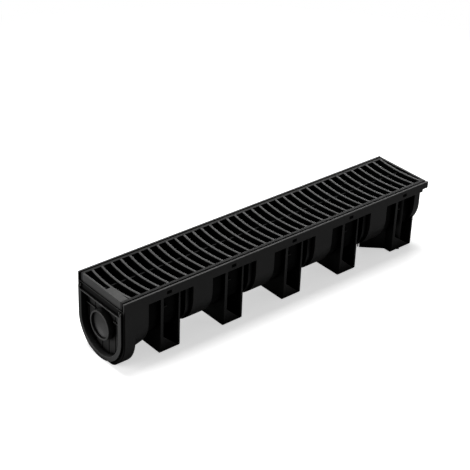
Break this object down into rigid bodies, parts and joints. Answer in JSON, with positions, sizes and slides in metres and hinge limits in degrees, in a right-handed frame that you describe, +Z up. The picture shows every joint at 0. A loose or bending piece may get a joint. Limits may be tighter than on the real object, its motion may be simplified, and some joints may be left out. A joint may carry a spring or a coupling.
{
  "type": "channel drain",
  "caption": "One-metre moulded channel drain: rounded trough on braced feet, grate of arc-shaped bars between the rims, closing end cap with a round pipe stub.",
  "frame": {"origin": "on the ground under the middle of the overall box", "axes": "+X along the channel away from the capped end, +Y across, +Z up"},
  "size_m": [1.005, 0.185, 0.194],
  "materials": {
    "body_plastic": "moulded, satin",
    "grate_plastic": "moulded, satin",
    "cap_plastic": "moulded, satin"
  },
  "bodies": {
    "root": {"channel_body": "body_plastic", "grate": "grate_plastic", "end_cap": "cap_plastic"}
  },
  "joints": []
}
